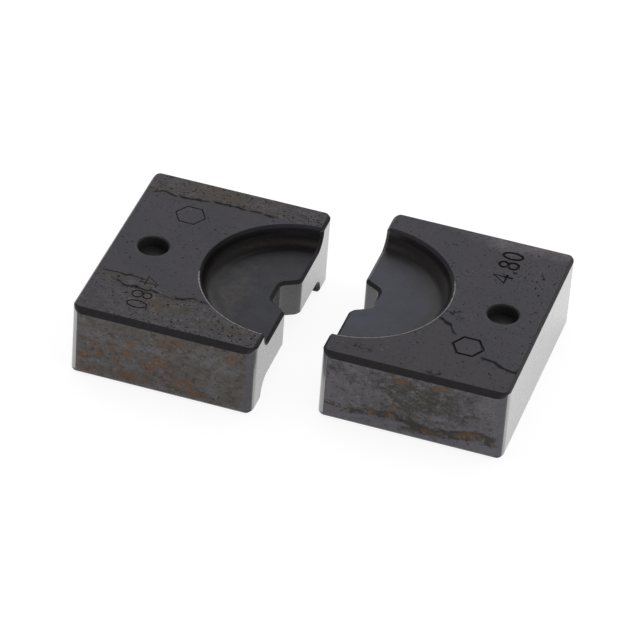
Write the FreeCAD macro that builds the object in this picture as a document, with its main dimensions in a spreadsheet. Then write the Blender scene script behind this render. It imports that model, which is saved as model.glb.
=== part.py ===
import FreeCAD, Part
import math
import os
import Sketcher

# A pair of hexagon crimping die halves, for pressing a tubular cable lug onto its wire.
# Each half is one block of hardened tool steel. Its mating face holds half of the crimp
# profile, in a thin web that a round recess leaves at both faces, and a shallow round
# pocket in its top takes the spring detent of the tool's die holder.
#
# The pair lies on a bench as photographed: the halves face each other across a gap, and
# one is set over to the side. The origin is midway between them on the bench, +Z is up,
# +X runs across the gap, and each half is the other turned by 180 degrees about +Z.
# Millimetres throughout.

SIZES = [
    # The block, cut from flat bar with its four long edges chamfered.
    ("block_width", 24.0),
    ("block_depth", 18.0),
    ("block_thickness", 7.6),
    ("block_corner_radius", 1.3),
    ("long_edge_chamfer", 0.5),
    ("mating_edge_break", 0.3),
    ("back_edge_break", 0.25),
    # The round recess turned into both faces, centred on the mating face.
    ("recess_radius", 8.75),
    ("recess_cove_radius", 1.4),
    ("recess_wall", 0.1),
    ("recess_rim_break", 0.25),
    # The half hexagon in the web between the two recesses.
    ("crimp_flat_width", 2.75),
    ("crimp_half_height", 1.75),
    ("crimp_flank_angle", 60.0),
    ("crimp_corner_radius", 0.85),
    ("crimp_lip_radius", 0.8),
    ("crimp_edge_break", 0.3),
    # The detent pocket, on the centre line near the back face.
    ("pocket_diameter", 3.0),
    ("pocket_sink", 1.15),
    ("pocket_setback", 3.9),
    ("pocket_rim_break", 0.1),
    # How the pair lies on the bench.
    ("resting_gap", 5.5),
    ("resting_offset", 2.55),
]

RECESS_SINK = "(Sizes.recess_cove_radius + Sizes.recess_wall + Sizes.recess_rim_break)"
# How far a cutting sketch stands clear of the solid that it cuts, and the tolerance of
# every comparison, both in millimetres.
CUT_OVERRUN = 1.0
TINY = 1e-4

doc = FreeCAD.newDocument("CrimpingDie")
sheet = doc.addObject("Spreadsheet::Sheet", "Sizes")
for row, (alias, value) in enumerate(SIZES, start=1):
    sheet.set(f"A{row}", alias)
    sheet.set(f"B{row}", str(value))
    sheet.setAlias(f"B{row}", alias)
doc.recompute()


def size(alias):
    return float(sheet.get(alias))


def recess_sink():
    return size("recess_cove_radius") + size("recess_wall") + size("recess_rim_break")


def origin_plane(body, role):
    for feature in body.Origin.OriginFeatures:
        if feature.Role == role:
            return feature
    raise RuntimeError(f"{body.Label} has no {role}")


def new_sketch(body, name, role):
    sketch = body.newObject("Sketcher::SketchObject", name)
    sketch.AttachmentSupport = (origin_plane(body, role), "")
    sketch.MapMode = "FlatFace"
    return sketch


def point(x, y):
    return FreeCAD.Vector(x, y, 0)


def closed_outline(sketch, corners):
    """Draw straight lines round the corners and join their ends."""
    first = sketch.GeometryCount
    count = len(corners)
    for index in range(count):
        start = point(*corners[index])
        end = point(*corners[(index + 1) % count])
        sketch.addGeometry(Part.LineSegment(start, end), False)
    for index in range(count):
        after = first + (index + 1) % count
        sketch.addConstraint(Sketcher.Constraint("Coincident", first + index, 2, after, 1))
    return first


def dimension(sketch, kind, name, where, value, expression):
    """Add a driving dimension to the sketch and tie it to the sheet."""
    index = sketch.addConstraint(Sketcher.Constraint(kind, *where, value))
    sketch.renameConstraint(index, name)
    sketch.setExpression(f"Constraints.{name}", expression)


def is_upright(edge):
    return abs(edge.tangentAt(edge.FirstParameter).z) > 1 - TINY


def corner_triangle(sketch, name, u_side, v_side, corner, leg, corner_expressions, leg_expression):
    """A right triangle that cuts a 45 degree chamfer at one corner of a cross-section.

    Its square corner stands clear of the block, so that the cut takes the whole edge.
    """
    reach = leg + 2 * CUT_OVERRUN
    square_u = corner[0] + u_side * CUT_OVERRUN
    square_v = corner[1] + v_side * CUT_OVERRUN
    along_u = (square_u - u_side * reach, square_v)
    along_v = (square_u, square_v - v_side * reach)
    first = closed_outline(sketch, [(square_u, square_v), along_u, along_v])
    sketch.addConstraint(Sketcher.Constraint("Horizontal", first))
    sketch.addConstraint(Sketcher.Constraint("Vertical", first + 2))
    u_start, v_start = corner_expressions
    dimension(sketch, "DistanceX", name + "_u", (-1, 1, first, 1), square_u,
              f"{u_start} + {u_side * CUT_OVERRUN}")
    dimension(sketch, "DistanceY", name + "_v", (-1, 1, first, 1), square_v,
              f"{v_start} + {v_side * CUT_OVERRUN}")
    reach_expression = f"{leg_expression} + {2 * CUT_OVERRUN}"
    dimension(sketch, "Distance", name + "_leg_u", (first,), reach, reach_expression)
    dimension(sketch, "Distance", name + "_leg_v", (first + 2,), reach, reach_expression)


def must_cut(body, before, name):
    """Recompute, and stop if the last feature took nothing away."""
    doc.recompute()
    after = body.Tip.Shape.Volume
    if after > before - TINY:
        raise RuntimeError(f"{body.Label}: {name} cuts nothing")
    return after


def edge_names(shape, wanted):
    return [f"Edge{number}" for number, edge in enumerate(shape.Edges, start=1) if wanted(edge)]


def add_block(body):
    """The block as cut from the bar: a rectangle with its four upright corners rounded."""
    width = size("block_width")
    depth = size("block_depth")
    half_width = width / 2
    outline = new_sketch(body, "BlockOutline", "XY_Plane")
    first = closed_outline(outline, [
        (0, -half_width),
        (0, half_width),
        (-depth, half_width),
        (-depth, -half_width),
    ])
    for line, kind in enumerate(["Vertical", "Horizontal", "Vertical", "Horizontal"]):
        outline.addConstraint(Sketcher.Constraint(kind, first + line))
    outline.addConstraint(Sketcher.Constraint("Symmetric", first, 1, first, 2, -1, 1))
    dimension(outline, "Distance", "width", (first,), width, "Sizes.block_width")
    dimension(outline, "Distance", "depth", (first + 1,), depth, "Sizes.block_depth")

    pad = body.newObject("PartDesign::Pad", "Block")
    pad.Profile = outline
    pad.Midplane = True
    pad.setExpression("Length", "Sizes.block_thickness")
    doc.recompute()

    corners = body.newObject("PartDesign::Fillet", "BlockCorners")
    corners.Base = (pad, edge_names(pad.Shape, is_upright))
    corners.setExpression("Radius", "Sizes.block_corner_radius")
    doc.recompute()


def chamfer_long_edges(body):
    """The four long edges, milled straight along, so that they run out at the round corners."""
    before = body.Tip.Shape.Volume
    half_width = size("block_width") / 2
    half_thickness = size("block_thickness") / 2
    section = new_sketch(body, "LongEdgeSection", "YZ_Plane")
    for name, side in (("near", -1), ("far", 1)):
        corner_triangle(section, name, side, 1, (side * half_width, half_thickness),
                        size("long_edge_chamfer"),
                        (f"{side} * Sizes.block_width / 2", "Sizes.block_thickness / 2"),
                        "Sizes.long_edge_chamfer")
    cut_both_faces(body, section, "LongEdges", "Sizes.block_depth * 2", before)


def break_end_edges(body):
    """The edges of the mating face and of the back face, lightly broken after grinding."""
    before = body.Tip.Shape.Volume
    half_thickness = size("block_thickness") / 2
    section = new_sketch(body, "EndEdgeSection", "XZ_Plane")
    corner_triangle(section, "mating", 1, 1, (0, half_thickness), size("mating_edge_break"),
                    ("0", "Sizes.block_thickness / 2"), "Sizes.mating_edge_break")
    corner_triangle(section, "back", -1, 1, (-size("block_depth"), half_thickness),
                    size("back_edge_break"), ("-Sizes.block_depth", "Sizes.block_thickness / 2"),
                    "Sizes.back_edge_break")
    cut_both_faces(body, section, "EndEdges", "Sizes.block_width * 2", before)


def cut_both_faces(body, section, name, length, before):
    """Cut a section right through the block at its top face, and again at its underside."""
    cut = body.newObject("PartDesign::Pocket", name)
    cut.Profile = section
    cut.Midplane = True
    cut.setExpression("Length", length)
    after_top = must_cut(body, before, name)
    mirror_to_underside(body, cut, name + "Below", after_top)


def mirror_to_underside(body, feature, name, before):
    mirrored = body.newObject("PartDesign::Mirrored", name)
    mirrored.Originals = [feature]
    mirrored.MirrorPlane = (origin_plane(body, "XY_Plane"), [""])
    body.Tip = mirrored
    must_cut(body, before, name)


def cut_crimp_profile(body):
    """Half of the hexagon: a flat between two flanks that open towards the mating face."""
    before = body.Tip.Shape.Volume
    depth = size("crimp_half_height")
    half_flat = size("crimp_flat_width") / 2
    spread = 1 / math.tan(math.radians(size("crimp_flank_angle")))
    half_mouth = half_flat + depth * spread
    outline = new_sketch(body, "CrimpOutline", "XY_Plane")
    first = closed_outline(outline, [
        (-depth, -half_flat),
        (-depth, half_flat),
        (0, half_mouth),
        (CUT_OVERRUN, half_mouth),
        (CUT_OVERRUN, -half_mouth),
        (0, -half_mouth),
    ])
    flat, far_flank, far_side, open_end, near_side, near_flank = range(first, first + 6)
    outline.addConstraint(Sketcher.Constraint("Vertical", open_end))
    outline.addConstraint(Sketcher.Constraint("Horizontal", far_side))
    outline.addConstraint(Sketcher.Constraint("Horizontal", near_side))
    outline.addConstraint(Sketcher.Constraint("Symmetric", flat, 1, flat, 2, -1))
    outline.addConstraint(Sketcher.Constraint("Symmetric", far_flank, 2, near_side, 2, -1))
    outline.addConstraint(Sketcher.Constraint("PointOnObject", far_flank, 2, -2))
    dimension(outline, "Distance", "flat", (flat,), 2 * half_flat, "Sizes.crimp_flat_width")
    dimension(outline, "DistanceX", "depth", (flat, 1, -1, 1), depth, "Sizes.crimp_half_height")
    dimension(outline, "DistanceX", "overrun", (far_side, 1, far_side, 2), CUT_OVERRUN,
              str(CUT_OVERRUN))
    dimension(outline, "DistanceY", "rise", (far_flank, 1, far_flank, 2), depth * spread,
              "Sizes.crimp_half_height / tan(Sizes.crimp_flank_angle * 1 deg)")

    notch = body.newObject("PartDesign::Pocket", "CrimpProfile")
    notch.Profile = outline
    notch.Midplane = True
    notch.setExpression("Length", "Sizes.block_thickness * 2")
    must_cut(body, before, "CrimpProfile")

    round_profile_edges(body, "CrimpCorners", -depth, half_flat, "Sizes.crimp_corner_radius")
    round_profile_edges(body, "CrimpLips", 0, half_mouth, "Sizes.crimp_lip_radius")


def round_profile_edges(body, name, x, half_spacing, radius):
    """Round the pair of upright edges that stand at one depth of the crimp profile."""
    base = body.Tip

    def stands_there(edge):
        middle = edge.CenterOfMass
        at_depth = abs(middle.x - x) < TINY
        return is_upright(edge) and at_depth and abs(abs(middle.y) - half_spacing) < TINY

    rounding = body.newObject("PartDesign::Fillet", name)
    rounding.Base = (base, edge_names(base.Shape, stands_there))
    rounding.setExpression("Radius", radius)
    doc.recompute()


def turn_recess(body):
    """The round recess, turned into the top face and into the underside."""
    before = body.Tip.Shape.Volume
    top = size("block_thickness") / 2
    floor = top - recess_sink()
    wall = size("recess_radius")
    cove = size("recess_cove_radius")
    rim = size("recess_rim_break")
    section = new_sketch(body, "RecessSection", "XZ_Plane")
    floor_centre = point(0, floor)
    cove_foot = point(wall - cove, floor)
    half_way = cove * math.sin(math.radians(45))
    cove_middle = point(wall - cove + half_way, floor + cove - half_way)
    wall_foot = point(wall, floor + cove)
    rim_foot = point(wall, top - rim)
    clear_corner = point(wall + rim + CUT_OVERRUN, top + CUT_OVERRUN)
    clear_centre = point(0, top + CUT_OVERRUN)
    pieces = [
        Part.LineSegment(floor_centre, cove_foot),
        Part.Arc(cove_foot, cove_middle, wall_foot),
        Part.LineSegment(wall_foot, rim_foot),
        Part.LineSegment(rim_foot, clear_corner),
        Part.LineSegment(clear_corner, clear_centre),
        Part.LineSegment(clear_centre, floor_centre),
    ]
    for piece in pieces:
        section.addGeometry(piece, False)
    floor_line, cove_arc, wall_line, rim_line, clear_line, axis_line = range(6)
    section.addConstraint(Sketcher.Constraint("Tangent", floor_line, 2, cove_arc, 1))
    section.addConstraint(Sketcher.Constraint("Tangent", cove_arc, 2, wall_line, 1))
    for line in (wall_line, rim_line, clear_line, axis_line):
        after = (line + 1) % len(pieces)
        section.addConstraint(Sketcher.Constraint("Coincident", line, 2, after, 1))
    section.addConstraint(Sketcher.Constraint("Horizontal", floor_line))
    section.addConstraint(Sketcher.Constraint("Horizontal", clear_line))
    section.addConstraint(Sketcher.Constraint("PointOnObject", clear_line, 2, -2))
    section.addConstraint(Sketcher.Constraint("PointOnObject", floor_line, 1, -2))
    dimension(section, "DistanceX", "wall", (-1, 1, wall_line, 2), wall, "Sizes.recess_radius")
    dimension(section, "DistanceX", "wall_foot", (-1, 1, wall_line, 1), wall, "Sizes.recess_radius")
    dimension(section, "DistanceY", "floor", (-1, 1, floor_line, 1), floor,
              f"Sizes.block_thickness / 2 - {RECESS_SINK}")
    dimension(section, "Radius", "cove", (cove_arc,), cove, "Sizes.recess_cove_radius")
    dimension(section, "DistanceY", "rim_foot", (-1, 1, wall_line, 2), top - rim,
              "Sizes.block_thickness / 2 - Sizes.recess_rim_break")
    rim_reach = rim + CUT_OVERRUN
    rim_expression = f"Sizes.recess_rim_break + {CUT_OVERRUN}"
    dimension(section, "DistanceX", "rim_out", (rim_line, 1, rim_line, 2), rim_reach, rim_expression)
    dimension(section, "DistanceY", "rim_up", (rim_line, 1, rim_line, 2), rim_reach, rim_expression)

    groove = body.newObject("PartDesign::Groove", "Recess")
    groove.Profile = section
    groove.ReferenceAxis = (section, ["V_Axis"])
    groove.Angle = 360.0
    after_top = must_cut(body, before, "Recess")
    mirror_to_underside(body, groove, "RecessBelow", after_top)


def break_web_edges(body):
    """The edges of the web, broken all round the crimp profile and along the mating face."""
    before = body.Tip.Shape.Volume
    base = body.Tip
    level = size("block_thickness") / 2 - recess_sink()
    foot = size("recess_radius") - size("recess_cove_radius")

    def on_web_outline(edge):
        box = edge.BoundBox
        flat = box.ZLength < TINY and abs(abs(box.ZMin) - level) < TINY
        around_recess = min(math.hypot(v.X, v.Y) for v in edge.Vertexes) > foot - TINY
        return flat and not around_recess

    broken = body.newObject("PartDesign::Chamfer", "WebEdges")
    broken.Base = (base, edge_names(base.Shape, on_web_outline))
    broken.setExpression("Size", "Sizes.crimp_edge_break")
    must_cut(body, before, "WebEdges")


def sink_pocket(body):
    """The shallow flat-bottomed pocket for the holder's detent, with a broken rim."""
    before = body.Tip.Shape.Volume
    reach = size("block_depth") - size("pocket_setback")
    radius = size("pocket_diameter") / 2
    upwards = FreeCAD.Vector(0, 0, 1)
    circle = new_sketch(body, "PocketCircle", "XY_Plane")
    circle.setExpression("AttachmentOffset.Base.z", "Sizes.block_thickness / 2")
    circle.addGeometry(Part.Circle(point(-reach, 0), upwards, radius), False)
    circle.addConstraint(Sketcher.Constraint("PointOnObject", 0, 3, -1))
    dimension(circle, "DistanceX", "reach", (0, 3, -1, 1), reach,
              "Sizes.block_depth - Sizes.pocket_setback")
    dimension(circle, "Diameter", "bore", (0,), 2 * radius, "Sizes.pocket_diameter")
    pocket = body.newObject("PartDesign::Pocket", "DetentPocket")
    pocket.Profile = circle
    pocket.setExpression("Length", "Sizes.pocket_sink")
    before = must_cut(body, before, "DetentPocket")

    top = size("block_thickness") / 2

    def is_rim(edge):
        middle = edge.CenterOfMass
        return abs(middle.z - top) < TINY and math.hypot(middle.x + reach, middle.y) < TINY

    rim = body.newObject("PartDesign::Chamfer", "PocketRim")
    rim.Base = (pocket, edge_names(pocket.Shape, is_rim))
    rim.setExpression("Size", "Sizes.pocket_rim_break")
    must_cut(body, before, "PocketRim")


def make_half(label):
    """One die half. Its mating face is at x = 0, its middle height at z = 0."""
    body = doc.addObject("PartDesign::Body", label)
    body.Label = label
    add_block(body)
    cut_crimp_profile(body)
    chamfer_long_edges(body)
    turn_recess(body)
    break_web_edges(body)
    break_end_edges(body)
    sink_pocket(body)
    return body


fixed_half = make_half("fixed_die_half")
moving_half = make_half("moving_die_half")
for half, side in ((fixed_half, -1), (moving_half, 1)):
    half.setExpression("Placement.Base.x", f"{side} * Sizes.resting_gap / 2")
    half.setExpression("Placement.Base.y", f"{side} * Sizes.resting_offset / 2")
    half.setExpression("Placement.Base.z", "Sizes.block_thickness / 2")
moving_half.Placement.Rotation = FreeCAD.Rotation(FreeCAD.Vector(0, 0, 1), 180)
doc.recompute()

for item in doc.Objects:
    if "Invalid" in item.State or "Error" in item.State:
        raise RuntimeError(f"{item.Label} failed: {item.State}")
os.makedirs("parts", exist_ok=True)
for half in (fixed_half, moving_half):
    shape = half.Shape
    if shape.isNull() or not shape.isValid() or len(shape.Solids) != 1:
        raise RuntimeError(f"{half.Label} has no good solid")
    shape.exportStep(f"parts/{half.Label}.step")
    print(half.Label, round(shape.Volume, 3), "mm3", shape.BoundBox)
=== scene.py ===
import math

import bmesh
import bpy
from mathutils import Matrix, Vector


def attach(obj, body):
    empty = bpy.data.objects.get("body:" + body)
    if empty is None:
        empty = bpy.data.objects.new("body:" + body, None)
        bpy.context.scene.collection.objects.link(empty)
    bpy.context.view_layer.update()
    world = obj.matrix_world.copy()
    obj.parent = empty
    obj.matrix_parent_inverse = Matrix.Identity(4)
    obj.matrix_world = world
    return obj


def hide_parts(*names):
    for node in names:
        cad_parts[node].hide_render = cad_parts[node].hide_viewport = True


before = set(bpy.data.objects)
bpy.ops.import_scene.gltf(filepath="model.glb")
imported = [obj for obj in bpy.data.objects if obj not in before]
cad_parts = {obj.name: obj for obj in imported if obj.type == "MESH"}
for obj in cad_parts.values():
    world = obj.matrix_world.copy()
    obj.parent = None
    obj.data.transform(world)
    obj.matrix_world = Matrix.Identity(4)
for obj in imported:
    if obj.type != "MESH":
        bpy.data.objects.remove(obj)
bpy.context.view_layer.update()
scene = bpy.context.scene


# The studio. A long lens looks down at the pair from the front right, as a catalogue
# photographer stands. A white tent gives soft light from all round. What the steel mirrors
# of it is its lit back wall, a small lamp overhead, pale low walls and a dark doorway.
MM = 0.001
CAMERA_PLACE = Vector((86.93, -321.765, 253.73)) * MM
CAMERA_YAW = 15.1817
CAMERA_PITCH = 36.9706
CAMERA_ROLL = 4.5455
CAMERA_LENS = 248.6


def linear(colour):
    """A written sRGB colour such as #20202a, as the linear values that a shader wants."""
    channels = [int(colour[start:start + 2], 16) / 255 for start in (1, 3, 5)]
    return [c / 12.92 if c <= 0.04045 else ((c + 0.055) / 1.055) ** 2.4 for c in channels] + [1]


def add(tree, kind, *values, **settings):
    """Add one node. values fill its inputs in order: numbers, colours, nodes or their sockets.

    A keyword with a capital is an input by name, such as Base_Color. Any other is a setting.
    """
    node = tree.nodes.new(kind)
    for name in [name for name in settings if name[0].islower()]:
        setattr(node, name, settings.pop(name))
    inputs = [socket for socket in node.inputs if socket.enabled]
    pairs = list(zip(inputs, values))
    pairs += [(node.inputs[name.replace("_", " ")], value) for name, value in settings.items()]
    for socket, value in pairs:
        if isinstance(value, bpy.types.Node):
            value = next(output for output in value.outputs if output.enabled)
        if isinstance(value, bpy.types.NodeSocket):
            tree.links.new(value, socket)
        else:
            socket.default_value = value
    return node


WHITE = linear("#ffffff")
camera_data = bpy.data.cameras.new("camera")
camera_data.lens = CAMERA_LENS
camera_data.clip_start = 10 * MM
camera_data.clip_end = 5
camera = bpy.data.objects.new("camera", camera_data)
camera.location = CAMERA_PLACE
turn = Matrix.Rotation(math.radians(CAMERA_YAW), 3, "Z")
tilt = Matrix.Rotation(math.radians(90 - CAMERA_PITCH), 3, "X")
roll = Matrix.Rotation(math.radians(CAMERA_ROLL), 3, "Z")
camera.rotation_euler = (turn @ tilt @ roll).to_euler()
scene.collection.objects.link(camera)
scene.camera = camera
scene.view_settings.view_transform = "Standard"

TENT_OPENING = Vector((-0.15, -0.62, 0.77)).normalized()
BACK_WALL = Vector((-0.15, 0.89, 0.43)).normalized()
LAMP = Vector((-0.2, -0.31, 0.93)).normalized()
DOORWAY = Vector((0.62, 0.77, 0.15)).normalized()
TENT_LIGHT, OPENING_LIGHT = 0.92, 0.2
ROOM_LIGHT, LOW_LIGHT, WALL_LIGHT, LAMP_LIGHT = 0.15, 0.4, 1.15, 0.45
world = bpy.data.worlds.new("tent")
scene.world = world
world.use_nodes = True
sky = world.node_tree
sky.nodes.clear()
direction = add(sky, "ShaderNodeTexCoord").outputs["Generated"]
opening, wall, doorway, lamp = [
    add(sky, "ShaderNodeVectorMath", direction, place, operation="DOT_PRODUCT").outputs["Value"]
    for place in (TENT_OPENING, BACK_WALL, DOORWAY, LAMP)]
tent = add(sky, "ShaderNodeMapRange", opening, 0.55, 0.88, TENT_LIGHT, OPENING_LIGHT)
low_light = add(sky, "ShaderNodeMapRange", doorway, 0.8, 0.93, LOW_LIGHT, ROOM_LIGHT)
height = add(sky, "ShaderNodeSeparateXYZ", direction).outputs["Z"]
room = add(sky, "ShaderNodeMapRange", height, 0.38, 0.2, ROOM_LIGHT, low_light)
wall_lit = add(sky, "ShaderNodeMapRange", wall, 0.84, 0.95, room, WALL_LIGHT)
lamp_lit = add(sky, "ShaderNodeMapRange", lamp, 0.95, 0.99, 0.0, LAMP_LIGHT)
mirrored = add(sky, "ShaderNodeMath", wall_lit, lamp_lit, operation="ADD")
seen_by = add(sky, "ShaderNodeLightPath").outputs
lit = add(sky, "ShaderNodeMix", seen_by["Is Glossy Ray"], tent, mirrored)
strength = add(sky, "ShaderNodeMix", seen_by["Is Camera Ray"], lit, 1.0)
background = add(sky, "ShaderNodeBackground", WHITE, strength)
add(sky, "ShaderNodeOutputWorld", background)


# The bench is a sheet of white paper that runs past the edges of the picture. The camera
# and the steel see it as white, its own share of the light keeps the soft shadow on it,
# and from below it is clear, so that the undersides can be looked at.
PAPER_REACH = 900 * MM
SHADOW_SHARE, PAPER_GLOW = 0.25, 0.88
BOUNCE_SHARE, MIRROR_GLOW = 0.8, 0.55
paper_mesh = bpy.data.meshes.new("paper")
shape = bmesh.new()
bmesh.ops.create_circle(shape, cap_ends=True, segments=96, radius=PAPER_REACH)
shape.to_mesh(paper_mesh)
shape.free()
paper = bpy.data.objects.new("paper", paper_mesh)
scene.collection.objects.link(paper)

paper_material = bpy.data.materials.new("white_paper")
paper_material.use_nodes = True
tree = paper_material.node_tree
tree.nodes.clear()
seen_by = add(tree, "ShaderNodeLightPath").outputs
eye = seen_by["Is Camera Ray"]
mirror = add(tree, "ShaderNodeMath", seen_by["Is Glossy Ray"], seen_by["Is Transmission Ray"],
             operation="MAXIMUM")
share = add(tree, "ShaderNodeMix", eye, BOUNCE_SHARE, SHADOW_SHARE)
mirror_glow = add(tree, "ShaderNodeMath", mirror, MIRROR_GLOW, operation="MULTIPLY")
glow = add(tree, "ShaderNodeMix", eye, mirror_glow, PAPER_GLOW)
soft = add(tree, "ShaderNodeBsdfDiffuse", add(tree, "ShaderNodeCombineColor", share, share, share))
front = add(tree, "ShaderNodeAddShader", soft, add(tree, "ShaderNodeEmission", WHITE, glow))
below = add(tree, "ShaderNodeNewGeometry").outputs["Backfacing"]
clear = add(tree, "ShaderNodeBsdfTransparent")
add(tree, "ShaderNodeOutputMaterial", add(tree, "ShaderNodeMixShader", below, front, clear))
paper_mesh.materials.append(paper_material)


# The two die halves. Each is one block of tool steel, milled, turned and ground, hardened,
# then blackened in hot oxide salts. Each stands here as a copy of its solid, with rims and
# corner tips rounded by tumbling, and the marks of its crimp size cut into its top.
GAP = 5.5
OFFSET = 2.55
THICKNESS = 7.6
DEPTH = 18.0
WIDTH = 24.0
CORNER_RADIUS = 1.3
LONG_CHAMFER = 0.5
MATING_BREAK = 0.3
BACK_BREAK = 0.25
RECESS_RIM = 9.0
RIM_BREAK = 0.25
POCKET_RIM = 1.6
POCKET_PLACE = Vector((-14.1, 0, 0))
RIM_ROUNDING = 0.08
TUMBLED_RADIUS = 0.1
TIP_RADIUS = 0.5
TIP_STEPS = 4
CORNER_STEPS = 14
TOP = THICKNESS / 2
CLOSE = 0.02


def half_frame(side):
    """Where a half's own frame stands: mating face at x = 0, block towards -x, middle at z = 0.

    side is -1 for the fixed half, which is on the left, and 1 for the moving half.
    """
    place = Matrix.Translation(Vector((side * GAP / 2, side * OFFSET / 2, TOP)) * MM)
    turned = Matrix.Rotation(math.pi if side > 0 else 0, 4, "Z")
    return place @ turned @ Matrix.Scale(MM, 4)


def rounded_outline(low_x, high_x, high_y, radius, z, steps=TIP_STEPS):
    """Points round a rectangle with rounded corners, at one height."""
    middle_x = (low_x + high_x) / 2
    corners = [(high_x, high_y), (low_x, high_y), (low_x, -high_y), (high_x, -high_y)]
    points = []
    for corner, (x, y) in enumerate(corners):
        centre = Vector((x - math.copysign(radius, x - middle_x), y - math.copysign(radius, y), z))
        for step in range(steps + 1):
            angle = math.radians(90) * (corner + step / steps)
            points.append(centre + Vector((math.cos(angle), math.sin(angle), 0)) * radius)
    return points


def tumbled_block():
    """The block's outside as the tumbler leaves it: the hull of small balls set in its corners.

    It stands a skin outside the solid, so that it cuts the edges alone and no flat face.
    """
    skin = 0.003
    ball = TUMBLED_RADIUS
    inset = ball * math.tan(math.radians(22.5))
    top = TOP + skin - ball
    low_x = -DEPTH - skin + ball
    high_x = skin - ball
    high_y = WIDTH / 2 + skin - ball
    round_corner = CORNER_RADIUS - ball
    tip = TIP_RADIUS - ball
    chamfer = LONG_CHAMFER - ball + inset
    top_ends = low_x + BACK_BREAK - ball + inset, high_x - MATING_BREAK + ball - inset
    break_foot = top - MATING_BREAK + ball - inset
    spots = []
    for sign in (1, -1):
        spots += rounded_outline(*top_ends, high_y - chamfer, tip, sign * top)
        spots += rounded_outline(low_x, high_x, high_y - chamfer, tip, sign * break_foot)
        spots += rounded_outline(low_x, high_x, high_y, round_corner, sign * (top - chamfer), CORNER_STEPS)
    tumbling_ball = bmesh.new()
    bmesh.ops.create_uvsphere(tumbling_ball, u_segments=16, v_segments=8, radius=ball)
    shape = bmesh.new()
    for spot in spots:
        for vert in tumbling_ball.verts:
            shape.verts.new(spot + vert.co)
    tumbling_ball.free()
    hull = bmesh.ops.convex_hull(shape, input=shape.verts)
    spare = hull["geom_interior"] + hull["geom_unused"]
    inside = {item for item in spare if isinstance(item, bmesh.types.BMVert)}
    bmesh.ops.delete(shape, geom=list(inside), context="VERTS")
    bmesh.ops.dissolve_limit(shape, angle_limit=math.radians(0.1), verts=shape.verts, edges=shape.edges)
    return shape


def new_piece(name, shape):
    """Put a shape in the scene as an object of this name."""
    mesh = bpy.data.meshes.new(name)
    shape.to_mesh(mesh)
    shape.free()
    piece = bpy.data.objects.new(name, mesh)
    scene.collection.objects.link(piece)
    return piece


def cut_with(piece, tool, operation):
    """Apply a Boolean to the piece's mesh with one tool, and throw the tool away.

    Only the strokes of the marks cross each other, so only a difference looks for that.
    """
    modifier = piece.modifiers.new("cut", "BOOLEAN")
    modifier.operation = operation
    modifier.object = tool
    modifier.solver = "EXACT"
    modifier.use_self = operation == "DIFFERENCE"
    bpy.context.view_layer.update()
    evaluated = piece.evaluated_get(bpy.context.evaluated_depsgraph_get())
    cut = bpy.data.meshes.new_from_object(evaluated)
    piece.modifiers.clear()
    piece.data = cut
    bpy.data.objects.remove(tool)


# The marks are the crimp's size across its mouth, 4.80 mm, and the outline of its hexagon.
# The fixed half has them engraved with a fine point, the moving half stamped deep. Each
# figure's lines are in mm, from the lower left corner of the number.
MARK_HEIGHT = 1.9
NUMBER_PLACE = Vector((-12.48, -7.2, TOP))
HEXAGON_PLACE = Vector((-12.48, 6.05, TOP))
HEXAGON_RADIUS = 1.48


def ring(centre_x, centre_y, radius_x, radius_y, steps=24):
    """Points round an ellipse, or at the corners of a polygon when steps are few."""
    turns = [math.radians(360) * step / steps for step in range(steps)]
    return [(centre_x + radius_x * math.cos(turn), centre_y + radius_y * math.sin(turn)) for turn in turns]


FOUR = [(0.98, 0), (0.98, 1.9), (0, 0.62), (1.38, 0.62)]
POINT = ring(1.88, 0.06, 0.06, 0.06, 8)
EIGHT_FOOT = ring(2.88, 0.5, 0.52, 0.5)
EIGHT_HEAD = ring(2.88, 1.43, 0.44, 0.44)
NOUGHT = ring(4.42, 0.95, 0.52, 0.95)
NUMBER_WIDTH = 4.94
HEXAGON = ring(0, 0, HEXAGON_RADIUS, HEXAGON_RADIUS, 6)


def mark_cutter(width, depth):
    """Round strokes along the marks' lines, which leave grooves of this width and depth."""
    radius = (width * width / 4 + depth * depth) / (2 * depth)
    sunk = Vector((0, 0, radius - depth))
    reading = Matrix(((0, 1, 0), (-1, 0, 0), (0, 0, 1))).to_4x4()
    centred = Matrix.Translation((-NUMBER_WIDTH / 2, -MARK_HEIGHT / 2, 0))
    number = Matrix.Translation(NUMBER_PLACE + sunk) @ reading @ centred
    hexagon = Matrix.Translation(HEXAGON_PLACE + sunk)
    lines = [(FOUR, False, number), (POINT, True, number), (EIGHT_FOOT, True, number),
             (EIGHT_HEAD, True, number), (NOUGHT, True, number), (HEXAGON, True, hexagon)]
    cutter = bmesh.new()
    for line, closed, place in lines:
        curve = bpy.data.curves.new("stroke", "CURVE")
        curve.dimensions = "3D"
        curve.bevel_depth = radius
        curve.bevel_resolution = 2
        curve.use_fill_caps = True
        spline = curve.splines.new("POLY")
        spline.points.add(len(line) - 1)
        for spline_point, (right, up) in zip(spline.points, line):
            spline_point.co = (right, up, 0, 1)
        spline.use_cyclic_u = closed
        stroke = bpy.data.objects.new("stroke", curve)
        scene.collection.objects.link(stroke)
        bpy.context.view_layer.update()
        mesh = bpy.data.meshes.new_from_object(stroke.evaluated_get(bpy.context.evaluated_depsgraph_get()))
        mesh.transform(place)
        cutter.from_mesh(mesh)
        bpy.data.objects.remove(stroke)
        bpy.data.meshes.remove(mesh)
    bmesh.ops.remove_doubles(cutter, verts=cutter.verts, dist=0.0005)
    bmesh.ops.recalc_face_normals(cutter, faces=cutter.faces)
    return cutter


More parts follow.
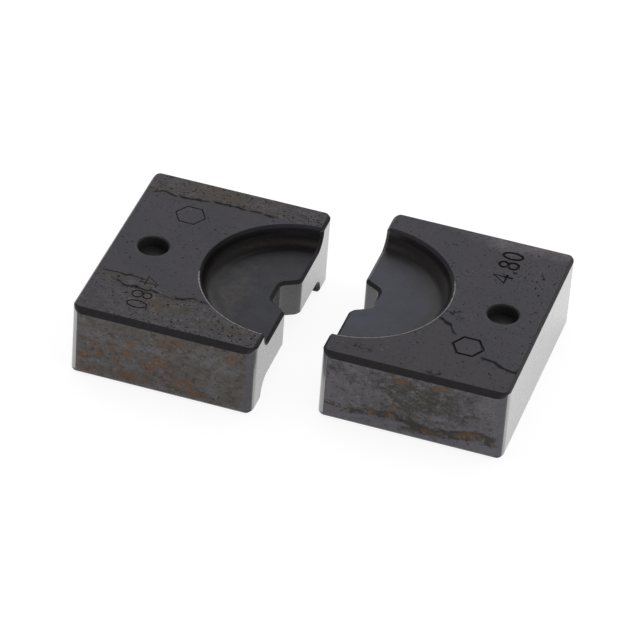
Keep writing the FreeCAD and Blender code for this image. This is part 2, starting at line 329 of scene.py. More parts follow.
def on_rim(point):
    """Whether a point is on the rim of a recess or of the pocket, in the half's own frame."""
    if abs(abs(point.z) - TOP) > 0.004:
        return False
    flat = Vector((point.x, point.y, 0))
    return abs(flat.length - RECESS_RIM) < CLOSE or abs((flat - POCKET_PLACE).length - POCKET_RIM) < CLOSE


def tumbled_half(node_name, piece_name, side, mark_width, mark_depth):
    """A merged copy of a solid's mesh, its rims rounded, its outside tumbled and its marks cut."""
    frame_of_half = half_frame(side)
    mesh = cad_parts[node_name].data.copy()
    for spare in ("custom_normal", "sharp_edge", "sharp_face"):
        if spare in mesh.attributes:
            mesh.attributes.remove(mesh.attributes[spare])
    mesh.materials.clear()
    shape = bmesh.new()
    shape.from_mesh(mesh)
    bpy.data.meshes.remove(mesh)
    shape.transform(frame_of_half.inverted())
    bmesh.ops.remove_doubles(shape, verts=shape.verts, dist=0.001)
    bmesh.ops.dissolve_limit(shape, angle_limit=math.radians(0.05), verts=shape.verts, edges=shape.edges)
    rims = [edge for edge in shape.edges if on_rim(edge.verts[0].co) and on_rim(edge.verts[1].co)]
    bmesh.ops.bevel(shape, geom=rims, offset=RIM_ROUNDING, offset_type="OFFSET", segments=2,
                    profile=0.5, affect="EDGES", material=-1)
    piece = new_piece(piece_name, shape)
    envelope = new_piece("envelope", tumbled_block())
    cut_with(envelope, new_piece("marks", mark_cutter(mark_width, mark_depth)), "DIFFERENCE")
    cut_with(piece, envelope, "INTERSECT")
    piece.data.transform(frame_of_half)
    return piece


# Every finish below is hot black oxide, a skin of iron oxide about 1 micron thick that the
# steel grows in boiling salts. It is dark and half dull, takes its gloss from the cut under
# it, and shows brown where scale or rust was left on the steel before.
FINISHES = ("milled", "chamfer", "side", "ground", "turned", "profile", "pocket", "mark", "rim_wear_and_highlight")
RUBBED_AND_HIGHLIT_FROM = {-1: 2.0, 1: -3.2}
ROUNDING_REACH = 0.12
MARK_REACH_X, MARK_REACH_Y, MARK_SINK = 1.8, 2.8, 0.3
PROFILE_REACH_X, PROFILE_REACH_Y = 2.2, 2.7
WEB_TOP = 2.1
COVE_TOP = 7.3
FACE_MARGIN = 0.9


def finish_of(face, to_half, near):
    """Which finish a face has, from where it lies on the half and the way it points.

    near is the sign of the half's own y towards the camera. Past the point given for its half above, that
    way, each recess rim is bare steel: partly wear, partly a painted highlight where the rim's edge catches
    the light. The reaches and margins above say how far, in mm, a finish runs.
    """
    spot = to_half @ face.center
    normal = (to_half.to_3x3() @ face.normal).normalized()
    reach = spot.to_2d().length
    from_pocket = (spot.to_2d() - POCKET_PLACE.to_2d()).length
    if from_pocket < POCKET_RIM + ROUNDING_REACH and 0 < spot.z < TOP - 0.001:
        return "pocket"
    if abs(normal.z) > 0.999 and abs(spot.z) > TOP - 0.01:
        return "milled"
    beside_marks = min(abs(spot.y - NUMBER_PLACE.y), abs(spot.y - HEXAGON_PLACE.y))
    on_marks = abs(spot.x - NUMBER_PLACE.x) < MARK_REACH_X and beside_marks < MARK_REACH_Y
    if on_marks and spot.z > TOP - MARK_SINK:
        return "mark"
    at_an_end = spot.x > -MATING_BREAK - 0.05 or spot.x < -DEPTH + CLOSE
    if at_an_end and abs(normal.x) > 0.95 and abs(spot.y) < WIDTH / 2 - FACE_MARGIN:
        return "ground"
    on_corner = abs(normal.z) < 0.3 and abs(spot.y) > WIDTH / 2 - CORNER_RADIUS
    faces_left = near * normal.x > 0.5
    if on_corner and (faces_left or abs(normal.x) > 0.9):
        return "ground"
    # The near part of each recess rim is bare steel: partly wear, partly a painted highlight where its edge
    # catches the light.
    at_rim = abs(reach - RECESS_RIM) < ROUNDING_REACH and spot.z > TOP - RIM_ROUNDING - 0.01
    if at_rim and near * spot.y > RUBBED_AND_HIGHLIT_FROM[near]:
        return "rim_wear_and_highlight"
    in_recess = reach < RECESS_RIM + 0.1
    if in_recess and abs(spot.z) < TOP - RIM_BREAK - CLOSE:
        in_profile = abs(spot.y) < PROFILE_REACH_Y and spot.x > -PROFILE_REACH_X
        if in_profile and abs(normal.z) < 0.5:
            return "profile"
        if in_profile and abs(normal.z) < 0.95 and abs(spot.z) < WEB_TOP:
            return "chamfer"
        if spot.x > -0.4 and 0.3 < abs(normal.z) < 0.95 and normal.x > 0.4:
            return "chamfer"
        if abs(normal.z) > 0.05 or reach > COVE_TOP:
            return "turned"
    if in_recess and spot.x < -0.5:
        return "turned"
    if abs(spot.z) > TOP - LONG_CHAMFER - 0.03 and abs(normal.z) > 0.3:
        return "chamfer"
    return "side"


def half_millimetres(tree, side):
    """Object coordinates in mm on one half: x from its mating face, y from its near side, z up."""
    shift = (-side * GAP / 2, WIDTH / 2 - side * OFFSET / 2, 0)
    coordinates = add(tree, "ShaderNodeTexCoord").outputs["Object"]
    return add(tree, "ShaderNodeMapping", coordinates, Location=shift, Scale=(1000, 1000, 1000))


def grain(tree, place, size, detail=4.0, roughness=0.6, stretch=(1, 1, 1), seed=0.0):
    """A cloudy pattern from 0 to 1 whose lumps are about this many mm across."""
    moved = add(tree, "ShaderNodeMapping", place, Location=(seed, seed * 1.7, seed * 0.6), Scale=stretch)
    return add(tree, "ShaderNodeTexNoise", moved, Scale=1 / size, Detail=detail, Roughness=roughness)


def joined(tree, operation, *masks):
    """Several masks as one: MAXIMUM is 1 where any of them is, MULTIPLY where all of them are."""
    result = masks[0]
    for mask in masks[1:]:
        result = add(tree, "ShaderNodeMath", result, mask, operation=operation)
    return result


def blotches(tree, place, ragged, spots, up="Y"):
    """Ragged spots: 1 inside, 0 outside. ragged is a pattern that eats into their edges.

    A spot is its centre along X and along the axis called up, then its two radii, all in mm.
    """
    upward = "XYZ".index(up)
    bite = add(tree, "ShaderNodeMapRange", ragged, 0.25, 0.75, -0.7, 0.7)
    masks = []
    for x, height, radius_x, radius_up in spots:
        away, shrink = [-x / radius_x, 0, 0], [1 / radius_x, 0, 0]
        away[upward], shrink[upward] = -height / radius_up, 1 / radius_up
        moved = add(tree, "ShaderNodeMapping", place, Location=away, Scale=shrink)
        far = add(tree, "ShaderNodeVectorMath", moved, operation="LENGTH").outputs["Value"]
        eaten = add(tree, "ShaderNodeMath", far, bite, operation="ADD")
        masks.append(add(tree, "ShaderNodeMapRange", eaten, 1.15, 0.35))
    return joined(tree, "MAXIMUM", *masks)


def seam(tree, place, ragged, course, wander, axis="Y"):
    """How far, in mm, a point is past a seam in the scale that follows course and wanders about it."""
    start, end = course[0][0], course[-1][0]
    parts = add(tree, "ShaderNodeSeparateXYZ", place).outputs
    along = add(tree, "ShaderNodeMapRange", parts["X"], start, end)
    curve = add(tree, "ShaderNodeFloatCurve", 1.0, along)
    points = curve.mapping.curves[0].points
    while len(points) < len(course):
        points.new(0.5, 0.5)
    for point, (x, height) in zip(points, course):
        point.location = ((x - start) / (end - start), height / WIDTH)
        point.handle_type = "VECTOR"
    curve.mapping.update()
    line = add(tree, "ShaderNodeMath", curve, WIDTH, operation="MULTIPLY")
    drift = add(tree, "ShaderNodeMapRange", ragged, 0.2, 0.8, -wander, wander)
    moved = add(tree, "ShaderNodeMath", parts[axis], drift, operation="ADD")
    return add(tree, "ShaderNodeMath", moved, line, operation="SUBTRACT")


def specks(tree, place, size, crowd, seed=0.0):
    """Uneven specks about this many mm apart: 1 on a speck. A higher crowd gives more of them."""
    lumps = grain(tree, place, size, 1.2, 0.5, seed=seed)
    raised = add(tree, "ShaderNodeMath", crowd, 0.12, lumps, operation="MULTIPLY_ADD")
    return add(tree, "ShaderNodeMapRange", raised, 0.72, 0.77)


def mottled(tree, pattern, start, end, low, high):
    """A colour that goes from low to high as the pattern goes from start to end."""
    share = add(tree, "ShaderNodeMapRange", pattern, start, end)
    return add(tree, "ShaderNodeMix", share, linear(low), linear(high), data_type="RGBA")


def stained(tree, colour, mask, stain, strength=1.0):
    """The colour with a stain over it where mask is 1."""
    share = add(tree, "ShaderNodeMath", mask, strength, operation="MULTIPLY")
    return add(tree, "ShaderNodeMix", share, colour, linear(stain), data_type="RGBA")


def new_finish(name):
    """An empty material and its node tree."""
    material = bpy.data.materials.new(name)
    material.use_nodes = True
    material.node_tree.nodes.clear()
    return material, material.node_tree


def finished(tree, colour, roughness, height, **fixed):
    """Close a finish with its colour, roughness and height in mm, and the numbers fixed all over."""
    bump = add(tree, "ShaderNodeBump", Height=height, Distance=MM, Strength=1.0)
    shader = add(tree, "ShaderNodeBsdfPrincipled", Base_Color=colour, Roughness=roughness, Normal=bump,
                 **fixed)
    add(tree, "ShaderNodeOutputMaterial", shader)


OXIDE_IOR = 1.4
HALF_NAME = {-1: "fixed", 1: "moving"}


# The flat top and underside: milled, so softly dull. Bands of rolled scale run along both
# long edges of the fixed half, rough, pitted and brown, and end in ragged cracked seams.
# The moving half is cleaner: one crack, a few scribbled lines and a frosted far corner.
FAR_SEAM = [(-18, 20.3), (-17, 20.4), (-16, 20.75), (-14.8, 20.5), (-13.5, 20.6), (-12.4, 20.7),
            (-11, 21.0), (-9.5, 21.0), (-8.2, 20.9), (-6.5, 21.0), (-5, 20.85), (-4, 20.8), (-2, 20.6),
            (0, 20.5)]
NEAR_EDGE = [(-18, 6.7), (-16.5, 6.8), (-15, 6.75), (-14, 6.85), (-12.7, 6.7), (-11.5, 6.0), (-10, 5.3),
             (-8.5, 5.3), (-6.5, 5.5), (-4, 4.6), (-2, 3.4), (0, 3.0)]
NEAR_SEAM = [(-18, 5.9), (-16, 5.75), (-15.2, 5.6), (-14.4, 5.15), (-13, 5.2), (-12, 5.35),
             (-10.8, 5.0), (-9.8, 4.9), (-8.8, 5.2), (-7.9, 5.7), (-7.2, 5.5), (-6.4, 5.4), (-5.5, 5.0),
             (0, 4.0)]
CRACK = [(8.4, 9.5), (9.0, 9.1), (9.6, 8.7), (10.1, 8.5), (10.4, 7.8), (10.8, 7.4), (11.4, 7.1),
         (12.5, 5.6), (13.4, 4.9), (14.4, 4.75), (15.3, 4.6), (16.0, 4.2), (16.8, 3.85), (17.6, 3.75),
         (18, 3.7)]
BROWN_SPOTS = [(-11.0, 22.2, 4.0, 1.4), (-16.6, 20.9, 1.4, 0.5), (-5.6, 21.0, 1.8, 0.7),
               (-16.0, 6.2, 2.4, 0.6), (-10.5, 3.6, 2.4, 1.2), (-4.0, 2.2, 2.4, 1.0)]
OLIVE_SPOTS = [(-8.9, 5.1, 1.1, 0.5), (-8.0, 3.9, 1.0, 0.6), (-7.4, 5.7, 0.6, 0.5)]
SCRIBBLES = [(9.7, 10.3, 1.5, 1.0), (3.0, 2.0, 1.6, 0.7), (10.8, 0.9, 0.9, 0.5)]
FROSTED_CORNER = (15.2, 24.0, 7.5, 2.4)
PIT_SIZES = (0.16, 0.23, 0.34)


def rolled_bands(tree, place, ragged, speckle, colour):
    """Scale on the fixed half's top. Gives the colour, the bands, their cracks and the crowd of pits."""
    along = add(tree, "ShaderNodeSeparateXYZ", place).outputs["X"]
    past_far = seam(tree, place, ragged, FAR_SEAM, 0.3)
    past_near = seam(tree, place, ragged, NEAR_EDGE, 0.35)
    past_lower = seam(tree, place, ragged, NEAR_SEAM, 0.35)
    far_band = add(tree, "ShaderNodeMapRange", past_far, -0.05, 0.2)
    near_band = add(tree, "ShaderNodeMapRange", past_near, 0.1, -0.5)
    near_share = add(tree, "ShaderNodeMapRange", along, -18.0, -12.5, 0.35, 1.0)
    scaled = joined(tree, "MAXIMUM", far_band, joined(tree, "MULTIPLY", near_band, near_share))
    colour = stained(tree, colour, scaled, "#454147", 0.7)
    patchy = add(tree, "ShaderNodeMapRange", grain(tree, place, 0.7, 7, 0.75, seed=8.2), 0.48, 0.64)
    colour = stained(tree, colour, joined(tree, "MULTIPLY", scaled, patchy), "#635e65", 0.8)
    warm = add(tree, "ShaderNodeMapRange", grain(tree, place, 2.2, 5, 0.65, seed=3.1), 0.3, 0.5)
    worked = add(tree, "ShaderNodeMapRange", speckle, 0.34, 0.56)
    browned = add(tree, "ShaderNodeMapRange", blotches(tree, place, ragged, BROWN_SPOTS), 0, 1, 0.2, 1.0)
    colour = stained(tree, colour, joined(tree, "MULTIPLY", scaled, warm, worked, browned), "#4d3e2a", 0.95)
    olive = blotches(tree, place, ragged, OLIVE_SPOTS)
    colour = stained(tree, colour, joined(tree, "MULTIPLY", olive, worked), "#38331c", 0.8)
    broken = add(tree, "ShaderNodeMapRange", grain(tree, place, 0.9, 3, 0.6, seed=5.0), 0.38, 0.5)
    lines, fringes = [], []
    for past, thick, first, last in ((past_far, 0.1, -18.2, -4.2), (past_near, 0.07, -17.6, -12.2),
                                     (past_lower, 0.11, -16.2, -5.8)):
        off_line = add(tree, "ShaderNodeMath", past, operation="ABSOLUTE")
        on_line = add(tree, "ShaderNodeMapRange", off_line, thick * 1.9, thick * 0.9)
        begun = add(tree, "ShaderNodeMapRange", along, first, first + 0.8)
        left = add(tree, "ShaderNodeMapRange", along, last, last - 1.2)
        span = joined(tree, "MULTIPLY", begun, left)
        lines.append(joined(tree, "MULTIPLY", span, broken, on_line))
        beside = add(tree, "ShaderNodeMapRange", off_line, 0.75, 0.2)
        fringes.append(joined(tree, "MULTIPLY", span, beside))
    rusty = add(tree, "ShaderNodeMapRange", grain(tree, place, 1.0, 5, 0.7, seed=12.5), 0.44, 0.58)
    fringe = joined(tree, "MULTIPLY", joined(tree, "MAXIMUM", *fringes), rusty)
    colour = stained(tree, colour, fringe, "#34291c", 0.85)
    right_end = add(tree, "ShaderNodeMapRange", along, -11.0, -5.0, 0.35, 0.52)
    crowd = add(tree, "ShaderNodeMath", scaled, right_end, 0.14, operation="MULTIPLY_ADD")
    return colour, scaled, joined(tree, "MAXIMUM", *lines), crowd


def cracked_corner(tree, place, ragged, speckle, cloud, colour):
    """Warm near corner and crack of the moving half. Gives the colour, the cracks and the crowd of pits."""
    along = add(tree, "ShaderNodeSeparateXYZ", place).outputs["X"]
    past_crack = seam(tree, place, ragged, CRACK, 0.3)
    off_crack = add(tree, "ShaderNodeMath", past_crack, operation="ABSOLUTE")
    on_crack = add(tree, "ShaderNodeMapRange", off_crack, 0.28, 0.12)
    past_mark = add(tree, "ShaderNodeMath", along, -HEXAGON_PLACE.x, operation="SUBTRACT")
    from_mark = add(tree, "ShaderNodeMath", past_mark, operation="ABSOLUTE")
    clear_of_mark = add(tree, "ShaderNodeMapRange", from_mark, HEXAGON_RADIUS - 0.1, HEXAGON_RADIUS + 0.3)
    wavy = add(tree, "ShaderNodeMath", grain(tree, place, 1.1, 4, 0.6, seed=7.7), 0.5, operation="SUBTRACT")
    off_line = add(tree, "ShaderNodeMath", wavy, operation="ABSOLUTE")
    thin = add(tree, "ShaderNodeMapRange", off_line, 0.04, 0.012)
    scribbled = joined(tree, "MULTIPLY", thin, blotches(tree, place, ragged, SCRIBBLES))
    cracks = joined(tree, "MAXIMUM", joined(tree, "MULTIPLY", on_crack, clear_of_mark), scribbled)
    clouded = add(tree, "ShaderNodeMapRange", cloud, 0.35, 0.65, 0.2, 0.7)
    warm_edge = joined(tree, "MULTIPLY", add(tree, "ShaderNodeMapRange", past_crack, 0.6, -1.2), clouded)
    colour = stained(tree, colour, warm_edge, "#322c2d")
    worked = add(tree, "ShaderNodeMapRange", speckle, 0.38, 0.58, 0.3, 1.0)
    frost = joined(tree, "MULTIPLY", blotches(tree, place, cloud, [FROSTED_CORNER]), worked)
    colour = stained(tree, colour, frost, "#736d70", 0.8)
    return colour, cracks, add(tree, "ShaderNodeMapRange", cloud, 0.3, 0.7, 0.05, 0.45)


def milled_finish(side):
    material, tree = new_finish("black_oxide_on_milled_steel_" + HALF_NAME[side])
    place = half_millimetres(tree, side)
    ragged = grain(tree, place, 1.3, 6, 0.7)
    fine = grain(tree, place, 0.22, 3, 0.6)
    speckle = grain(tree, place, 0.5, 6, 0.75, (1, 1.4, 1), 4.4)
    cloud = grain(tree, place, 5.0, 3, 0.5)
    colour = mottled(tree, cloud, 0.3, 0.7, "#2d2936", "#37333f")
    if side < 0:
        colour, scaled, cracks, crowd = rolled_bands(tree, place, ragged, speckle, colour)
    else:
        colour, cracks, crowd = cracked_corner(tree, place, ragged, speckle, cloud, colour)
        scaled = 0.0
    holes = joined(tree, "MAXIMUM", *[specks(tree, place, size, crowd, size * 9) for size in PIT_SIZES])
    dark = joined(tree, "MAXIMUM", cracks, holes)
    colour = stained(tree, colour, dark, "#0c0b0b", 0.9)
    # Painted glints: rare light grey specks over the top.
    colour = stained(tree, colour, specks(tree, place, 0.34, -0.28, 9.9), "#8a888a", 0.6)
    bite = joined(tree, "MULTIPLY", holes, -0.012)
    height = add(tree, "ShaderNodeMath", fine, 0.004, bite, operation="MULTIPLY_ADD")
    gloss = add(tree, "ShaderNodeMapRange", fine, 0.3, 0.7, 0.33, 0.45)
    matt = joined(tree, "MAXIMUM", dark, add(tree, "ShaderNodeMath", scaled, 0.2, operation="MULTIPLY"))
    finished(tree, colour, add(tree, "ShaderNodeMix", matt, gloss, 0.8), height, IOR=OXIDE_IOR)
    return material


# The long sides: the rolled skin of the bar, rusted a little before it was blackened, so mottled, dull and
# light, with rust showing through in soft brown and orange spots. A thick dark flake of scale runs the length
# of the moving half, low down. Their bottom edge is lighter: a painted highlight.
SIDE_COLOURS = {-1: ("#5c5652", "#6c6664"), 1: ("#68666c", "#78767c")}
PALE_SPOTS = {
    -1: [(-4.8, 5.4, 1.5, 1.1), (-2.4, 4.9, 1.5, 0.7), (-10.5, 4.9, 3.4, 0.6), (-3.8, 2.3, 0.9, 1.2),
         (-12.0, 3.0, 1.3, 0.9), (-15.5, 5.2, 1.8, 0.7), (-15.0, 2.1, 2.2, 0.4), (-9.2, 0.9, 1.2, 0.5),
         (-17.2, 6.6, 0.8, 0.5)],
    1: [(3.6, 4.4, 1.6, 0.8), (5.8, 4.1, 1.7, 0.7), (15.5, 1.0, 1.8, 0.5), (12.0, 3.2, 1.6, 0.5),
        (16.0, 5.6, 1.4, 1.3), (3.0, 1.1, 1.6, 0.4)]}
RUST_SPOTS = {
    -1: [(-10.0, 3.1, 1.1, 0.8), (-9.0, 3.8, 1.0, 0.8), (-5.4, 1.1, 1.4, 0.7), (-6.1, 2.2, 0.8, 0.5),
         (-11.8, 1.2, 2.2, 0.7), (-16.3, 0.9, 1.9, 0.5), (-8.9, 6.0, 0.6, 0.8), (-8.0, 6.4, 0.7, 0.5),
         (-7.1, 6.5, 0.6, 0.5), (-2.0, 6.2, 0.9, 0.7), (-11.9, 4.9, 0.7, 0.4), (-15.5, 4.2, 0.5, 0.4),
         (-13.7, 4.1, 0.5, 0.4), (-12.2, 3.8, 0.9, 0.5), (-7.2, 1.8, 0.7, 0.7), (-16.5, 2.5, 0.7, 0.5),
         (-13.0, 2.6, 0.8, 0.4), (-15.1, 3.1, 0.5, 0.4)],
    1: [(10.9, 1.45, 1.1, 0.3), (7.9, 6.4, 0.8, 0.5), (7.5, 3.3, 0.8, 0.4), (1.4, 2.25, 0.6, 0.25),
        (3.5, 2.05, 0.6, 0.2), (5.3, 2.15, 0.7, 0.25), (7.1, 2.3, 0.7, 0.3), (15.2, 2.3, 1.3, 0.4),
        (11.8, 6.6, 1.2, 0.4), (14.0, 1.8, 1.4, 0.3), (17.1, 1.6, 0.4, 0.2)]}
BROWN_ZONES = [(9.7, 4.9, 7.6, 3.7), (1.6, 6.2, 1.3, 0.9), (4.0, 5.1, 1.4, 0.3), (14.7, 6.2, 1.0, 0.7),
               (15.0, 4.4, 0.9, 0.3), (9.3, 1.3, 1.6, 0.5)]
SCALE_FLAKE = [(0, 1.9), (1, 2.05), (2, 2.0), (2.6, 1.7), (3.5, 1.75), (4.4, 1.95), (5.3, 2.1),
               (6.3, 2.15), (7.2, 2.3), (8.2, 2.2), (9, 2.1), (9.7, 1.75), (10.6, 1.5), (11.6, 1.65),
               (12.6, 1.75), (13.8, 1.9), (15, 2.15), (16, 2.3), (16.8, 2.0), (17.4, 1.9), (18, 1.9)]
SIDE_PIT_SIZES = (0.2, 0.33, 0.6)


def scale_flake(tree, place, ragged):
    """Where the moving half's long dark flake of scale is: thicker to the right, and broken."""
    along = add(tree, "ShaderNodeSeparateXYZ", place).outputs["X"]
    past = seam(tree, place, ragged, SCALE_FLAKE, 0.45, axis="Z")
    thick = add(tree, "ShaderNodeMapRange", along, 0, 16, 0.3, 0.6)
    off_flake = add(tree, "ShaderNodeMath", past, operation="ABSOLUTE")
    over = add(tree, "ShaderNodeMath", off_flake, thick, operation="SUBTRACT")
    flake = add(tree, "ShaderNodeMapRange", over, 0.06, -0.12)
    broken = add(tree, "ShaderNodeMapRange", grain(tree, place, 1.1, 5, 0.65, seed=9.0), 0.38, 0.47)
    ended = add(tree, "ShaderNodeMapRange", along, 17.7, 17.2)
    return joined(tree, "MULTIPLY", flake, broken, ended)


def side_finish(side):
    material, tree = new_finish("black_oxide_on_rusted_side_" + HALF_NAME[side])
    place = half_millimetres(tree, side)
    ragged = grain(tree, place, 0.9, 8, 0.78)
    fine = grain(tree, place, 0.2, 4, 0.7)
    cloud = grain(tree, place, 2.2, 6, 0.7, (0.7, 1, 1.2), 1.3)
    mottle = grain(tree, place, 0.8, 8, 0.78, (0.8, 1, 1.2), 5.2)
    parts = add(tree, "ShaderNodeSeparateXYZ", place).outputs
    colour = mottled(tree, cloud, 0.3, 0.7, *SIDE_COLOURS[side])
    if side < 0:
        brown = add(tree, "ShaderNodeMapRange", mottle, 0.47, 0.6, 0, 0.7)
    else:
        zone = blotches(tree, place, ragged, BROWN_ZONES, up="Z")
        brown = joined(tree, "MULTIPLY", zone, add(tree, "ShaderNodeMapRange", mottle, 0.4, 0.5, 0.1, 1.0))
    colour = stained(tree, colour, brown, "#3b342d", 0.9)
    pale = blotches(tree, place, ragged, PALE_SPOTS[side], up="Z")
    uneven = add(tree, "ShaderNodeMapRange", mottle, 0.62, 0.4, 0.3, 1.0)
    colour = stained(tree, colour, joined(tree, "MULTIPLY", pale, uneven), "#77757b", 0.75)
    if side > 0:
        colour = stained(tree, colour, scale_flake(tree, place, ragged), "#292119", 0.9)
    rust = blotches(tree, place, ragged, RUST_SPOTS[side], up="Z")
    rusted = joined(tree, "MULTIPLY", rust, add(tree, "ShaderNodeMapRange", mottle, 0.38, 0.6, 0.1, 0.9))
    colour = stained(tree, colour, rusted, "#584632", 0.8)
    bright = add(tree, "ShaderNodeMapRange", rusted, 0.2, 0.7)
    core = joined(tree, "MULTIPLY", bright, add(tree, "ShaderNodeMapRange", fine, 0.38, 0.56, 0.2, 1.0))
    colour = stained(tree, colour, core, "#865a2e", 0.7)
    on_side = add(tree, "ShaderNodeCombineXYZ", parts["X"], parts["Z"], 0.0)
    holes = joined(tree, "MAXIMUM", *[specks(tree, on_side, size, 0.55, size * 7) for size in SIDE_PIT_SIZES])
    colour = stained(tree, colour, holes, "#2b2521", 0.6)
    crumbs = add(tree, "ShaderNodeMapRange", grain(tree, place, 0.34, 6, 0.8, seed=14.0), 0.54, 0.6)
    colour = stained(tree, colour, joined(tree, "MULTIPLY", crumbs, brown), "#1d1916", 0.6)
    scratches = grain(tree, place, 0.42, 6, 0.72, (0.6, 1, 1.4), 11.0)
    colour = stained(tree, colour, add(tree, "ShaderNodeMapRange", scratches, 0.58, 0.7), "#a09ea3", 0.6)
    # Painted highlight: the bottom edge of each long side is lighter.
    low_edge = add(tree, "ShaderNodeMapRange", parts["Z"], 1.0, 0.35)
    painted_light_low = joined(tree, "MULTIPLY", low_edge, add(tree, "ShaderNodeMapRange", mottle, 0.6, 0.45, 0.2, 0.9))
    colour = stained(tree, colour, painted_light_low, "#85838a", 0.8)
    from_mating_face = add(tree, "ShaderNodeMath", parts["X"], operation="ABSOLUTE")
    mating_end = add(tree, "ShaderNodeMapRange", from_mating_face, 1.1, 0.5)
    back_end = add(tree, "ShaderNodeMapRange", from_mating_face, 16.9, 17.5)
    colour = stained(tree, colour, joined(tree, "MAXIMUM", mating_end, back_end), "#5b5a60", 0.8)
    lumps = joined(tree, "MULTIPLY", mottle, 0.04)
    bite = add(tree, "ShaderNodeMath", holes, -0.015, lumps, operation="MULTIPLY_ADD")
    height = add(tree, "ShaderNodeMath", fine, 0.014, bite, operation="MULTIPLY_ADD")
    roughness = add(tree, "ShaderNodeMapRange", mottle, 0.3, 0.7, 0.42, 0.6)
    finished(tree, colour, roughness, height, IOR=OXIDE_IOR)
    return material


# The recess: turned on a lathe, so ringed by the tool's fine feed and glossier than the top. Painted shade
# darkens the floor's margin by the cove on the far side, and a darker ring lies at the cove's foot. A lighter
# brown ring on the cove is a painted highlight band with painted glints, and a painted highlight runs along
# the far side of the wall and rim break. The fixed half's floor has a brown film on its back half, and both
# floors turn blue towards the profile.
TURNED_COLOURS = {-1: ("#141424", "#20202f"), 1: ("#2f3040", "#393b4e")}
COVE_SHADE_AND_FOOT_COLOURS = {-1: ("#0d0c0d", "#131213"), 1: ("#211e1f", "#242122")}
BLUE_SPOTS = {-1: (-2.2, 10.0, 1.8, 3.6), 1: (5.6, 10.2, 1.6, 1.6)}
BROWN_FILM = (-5.9, 8.6, 2.3, 6.0)
COVE_FOOT = 7.35
TURNED_IOR = {-1: 1.36, 1: OXIDE_IOR}


def turned_finish(side):
    material, tree = new_finish("black_oxide_on_turned_steel_" + HALF_NAME[side])
    place = half_millimetres(tree, side)
    parts = add(tree, "ShaderNodeSeparateXYZ", place).outputs
    across = add(tree, "ShaderNodeMath", parts["Y"], WIDTH / 2, operation="SUBTRACT")
    flat = add(tree, "ShaderNodeCombineXYZ", parts["X"], across, 0.0)
    reach = add(tree, "ShaderNodeVectorMath", flat, operation="LENGTH").outputs["Value"]
    feed = add(tree, "ShaderNodeTexNoise", reach, Scale=5.0, Detail=2.0, noise_dimensions="1D")
    ragged = grain(tree, place, 1.4, 6, 0.7)
    cloud = grain(tree, place, 2.6, 5, 0.65, seed=2.0)
    fine = grain(tree, place, 0.25, 3, 0.6)
    colour = mottled(tree, cloud, 0.35, 0.7, *TURNED_COLOURS[side])
    if side < 0:
        film = blotches(tree, place, ragged, [BROWN_FILM])
        streaks = grain(tree, place, 0.6, 7, 0.75, seed=6.0)
        streaked = add(tree, "ShaderNodeMapRange", streaks, 0.36, 0.64, 0.1, 0.8)
        colour = stained(tree, colour, joined(tree, "MULTIPLY", film, streaked), "#493f36")
    colour = stained(tree, colour, blotches(tree, place, ragged, [BLUE_SPOTS[side]]), "#1f2433", 0.5)
    rings = add(tree, "ShaderNodeMapRange", feed, 0.4, 0.62)
    colour = stained(tree, colour, rings, "#3a3a40", 0.16)
    # Painted shade: the floor's margin by the cove is darker on the far side of the recess.
    far_side_shade = add(tree, "ShaderNodeMapRange", across, -1.0, 4.0, 0.15, 0.8)
    margin = add(tree, "ShaderNodeMapRange", reach, COVE_FOOT - 3.5, COVE_FOOT + 0.3)
    far_cove_shade_colour, foot = COVE_SHADE_AND_FOOT_COLOURS[side]
    colour = stained(tree, colour, joined(tree, "MULTIPLY", margin, far_side_shade), far_cove_shade_colour)
    # A darker ring at the foot of the cove.
    footing = add(tree, "ShaderNodeMapRange", reach, COVE_FOOT - 0.6, COVE_FOOT + 0.2)
    colour = stained(tree, colour, footing, foot)
    # Painted highlight: a lighter brown ring on the cove, with painted glints in it.
    highlight_band_inner = add(tree, "ShaderNodeMapRange", reach, 7.7, 8.1)
    below_rim = add(tree, "ShaderNodeMapRange", reach, 8.6, 8.3)
    painted_highlight_band = joined(tree, "MULTIPLY", highlight_band_inner, below_rim)
    colour = stained(tree, colour, painted_highlight_band, "#312c2a", 0.6)
    painted_glints = joined(tree, "MULTIPLY", painted_highlight_band, specks(tree, place, 0.14, 0.8, 3.7))
    colour = stained(tree, colour, painted_glints, "#4a423d", 0.6)
    # Painted highlight along the far side of the recess wall and rim break.
    rim = add(tree, "ShaderNodeMapRange", reach, 8.7, 8.76)
    far_rim_painted_highlight = joined(tree, "MULTIPLY", rim, add(tree, "ShaderNodeMapRange", across, 2.0, 8.0))
    colour = stained(tree, colour, far_rim_painted_highlight, "#343136")
    colour = stained(tree, colour, specks(tree, place, 0.3, 0.2), "#0b0a0a", 0.6)
    texture = joined(tree, "MULTIPLY", fine, 0.0015)
    height = add(tree, "ShaderNodeMath", feed, 0.006, texture, operation="MULTIPLY_ADD")
    roughness = add(tree, "ShaderNodeMapRange", ragged, 0.3, 0.7, 0.28, 0.38)
    finished(tree, colour, roughness, height, IOR=TURNED_IOR[side])
    return material


# The mating and back faces: ground up and down, so fine upright lines, and a bright sheen
# where they are seen at a slant, which a thick glassy oxide gives.
def ground_finish(side):
    material, tree = new_finish("black_oxide_on_ground_steel_" + HALF_NAME[side])
    place = half_millimetres(tree, side)
    lines = grain(tree, place, 0.22, 4, 0.7, (1, 1, 0.06))
    ragged = grain(tree, place, 1.2, 5, 0.7)
    colour = mottled(tree, lines, 0.3, 0.7, "#262628", "#424244")
    colour = stained(tree, colour, add(tree, "ShaderNodeMapRange", ragged, 0.6, 0.75), "#2f2721")
    height = joined(tree, "MULTIPLY", lines, 0.008)
    roughness = add(tree, "ShaderNodeMapRange", lines, 0.3, 0.7, 0.18, 0.32)
    finished(tree, colour, roughness, height, IOR=3.0, Coat_Weight=1.0, Coat_Roughness=0.18)
    return material
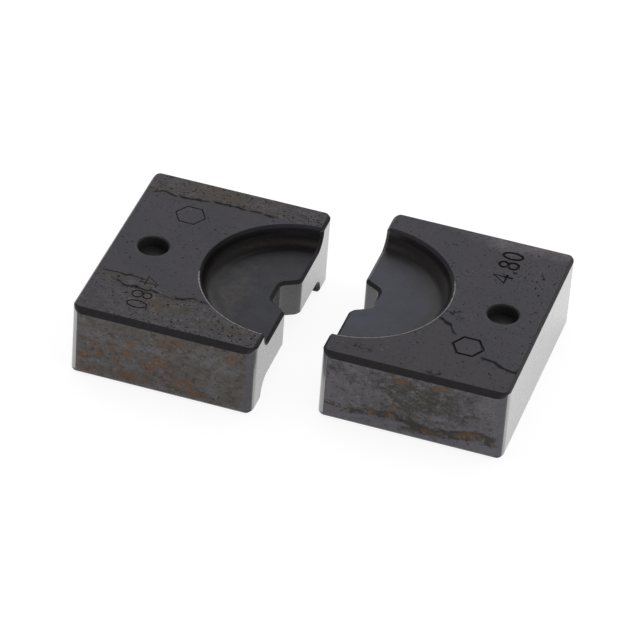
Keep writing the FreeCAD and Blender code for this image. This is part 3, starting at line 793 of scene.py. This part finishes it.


# What is left has one even finish each: the chamfers are filed and dull, the crimp profile is ground and
# glossy, the pocket is drilled, and the marks keep dark salts. On the near part of the recess rims the oxide
# is gone and bare steel shines, metallic and scratched: partly wear from hands and holders, partly a painted
# highlight set where the rim's edge catches the light.
def even_finish(name, low, high, roughness, ior, metallic=0.0):
    material, tree = new_finish(name)
    fine = grain(tree, half_millimetres(tree, -1), 0.25, 4, 0.65)
    colour = mottled(tree, fine, 0.35, 0.65, low, high)
    height = joined(tree, "MULTIPLY", fine, 0.004)
    spread = add(tree, "ShaderNodeMapRange", fine, 0.3, 0.7, roughness - 0.05, roughness + 0.05)
    finished(tree, colour, spread, height, IOR=ior, Metallic=metallic)
    return material


chamfer = even_finish("black_oxide_on_filed_chamfer", "#29272a", "#343134", 0.4, OXIDE_IOR)
profile = even_finish("black_oxide_on_ground_profile", "#2a2b2e", "#343538", 0.25, 1.95)
pocket = even_finish("black_oxide_in_drilled_pocket", "#2f2e2f", "#3b3a3b", 0.4, OXIDE_IOR)
mark = even_finish("black_oxide_in_marks", "#2a2525", "#322c2b", 0.45, OXIDE_IOR)
rim_wear_and_highlight = even_finish("bare_steel_and_painted_highlight_on_near_rim", "#505055", "#a0a0a4", 0.35, 1.5, 1.0)

fixed = tumbled_half("fixed_die_half", "fixed_half_blackened", -1, mark_width=0.17, mark_depth=0.1)
moving = tumbled_half("moving_die_half", "moving_half_blackened", 1, mark_width=0.3, mark_depth=0.2)
for piece, side, body, node_name in ((fixed, -1, "fixed_half", "fixed_die_half"),
                                     (moving, 1, "moving_half", "moving_die_half")):
    piece.data.materials.clear()
    own = {"milled": milled_finish(side), "chamfer": chamfer, "side": side_finish(side),
           "ground": ground_finish(side), "turned": turned_finish(side), "profile": profile,
           "pocket": pocket, "mark": mark, "rim_wear_and_highlight": rim_wear_and_highlight}
    for finish in FINISHES:
        piece.data.materials.append(own[finish])
    to_half = half_frame(side).inverted()
    for face in piece.data.polygons:
        face.material_index = FINISHES.index(finish_of(face, to_half, side))
    piece.data.shade_smooth()
    piece.data.set_sharp_from_angle(angle=math.radians(30))
    flats = piece.modifiers.new("flats_stay_flat", "WEIGHTED_NORMAL")
    flats.keep_sharp = True
    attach(piece, body)
    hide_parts(node_name)
